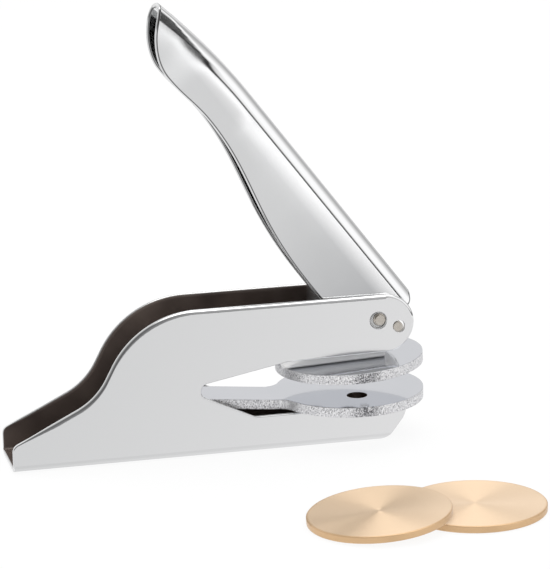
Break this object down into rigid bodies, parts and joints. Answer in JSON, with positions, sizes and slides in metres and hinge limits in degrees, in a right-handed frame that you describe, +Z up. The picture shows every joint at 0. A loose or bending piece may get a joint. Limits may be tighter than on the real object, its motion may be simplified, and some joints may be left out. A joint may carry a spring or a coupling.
{
  "type": "seal embosser",
  "caption": "Desk seal embosser: folded sheet body with a throat, lever handle on a pivot, cam, hinged press arm, round die plates and loose brass die blanks.",
  "frame": {"origin": "on the underside of the body, straight below the axis of the two die plates", "axes": "+X along the body towards the nose, +Z up, +Y across the body from its near wall to its far wall"},
  "size_m": [0.1577, 0.1418, 0.1515],
  "materials": {
    "plated_sheet": "satin bright nickel plate over folded steel sheet",
    "plated_handle": "satin bright nickel plate over folded steel sheet",
    "plated_arm": "bright nickel plate",
    "plated_plate": "bright nickel plate, rough sheared edges",
    "dark_steel": "plain oiled steel",
    "bright_steel": "turned bright steel",
    "spring_steel": "drawn spring wire",
    "pin_steel": "turned steel pin end, warm grey",
    "die_brass": "turned brass, fine concentric lines"
  },
  "bodies": {
    "base": {"body_shell": "plated_sheet", "lower_plate": "plated_plate", "tongue_block": "dark_steel", "tongue_screws": "bright_steel", "arm_bracket": "dark_steel", "arm_pivot_pin": "bright_steel", "arm_pivot_washers": "bright_steel", "return_spring": "spring_steel", "spring_seat": "bright_steel", "handle_pivot_pin": "pin_steel", "pivot_bushes": "bright_steel", "pivot_washers": "bright_steel", "stop_pin": "pin_steel"},
    "handle": {"handle_shell": "plated_handle", "press_cam": "dark_steel", "cam_rivet": "bright_steel"},
    "press_arm": {"press_arm": "plated_arm", "upper_plate": "plated_plate", "plate_rivets": "bright_steel", "thrust_pad": "dark_steel", "pad_rivets": "bright_steel", "spring_stud": "bright_steel"},
    "die_lower": {"die_blank_lower": "die_brass"},
    "die_upper": {"die_blank_upper": "die_brass"}
  },
  "joints": [
    {"name": "handle_press", "type": "hinge", "parent": "base", "child": "handle", "pos_m": [0.0079, 0, 0.0422], "axis": [0, -1, 0], "range_deg": [0, 40], "stiffness_Nm_per_rad": 0.05, "springref_deg": -51.57},
    {"name": "arm_close", "type": "hinge", "parent": "base", "child": "press_arm", "pos_m": [-0.074, 0, 0.0245], "axis": [0, 1, 0], "range_deg": [0, 2.87], "deforming": ["return_spring"]},
    {"name": "die_lower_lift", "type": "slide", "parent": "base", "child": "die_lower", "axis": [0, 0, 1], "range_m": [0, 0.03]},
    {"name": "die_upper_lift", "type": "slide", "parent": "die_lower", "child": "die_upper", "axis": [0, 0, 1], "range_m": [0, 0.03]}
  ],
  "couplings": [
    {"joint": "arm_close", "follows": "handle_press", "ratio": 0.0716}
  ]
}
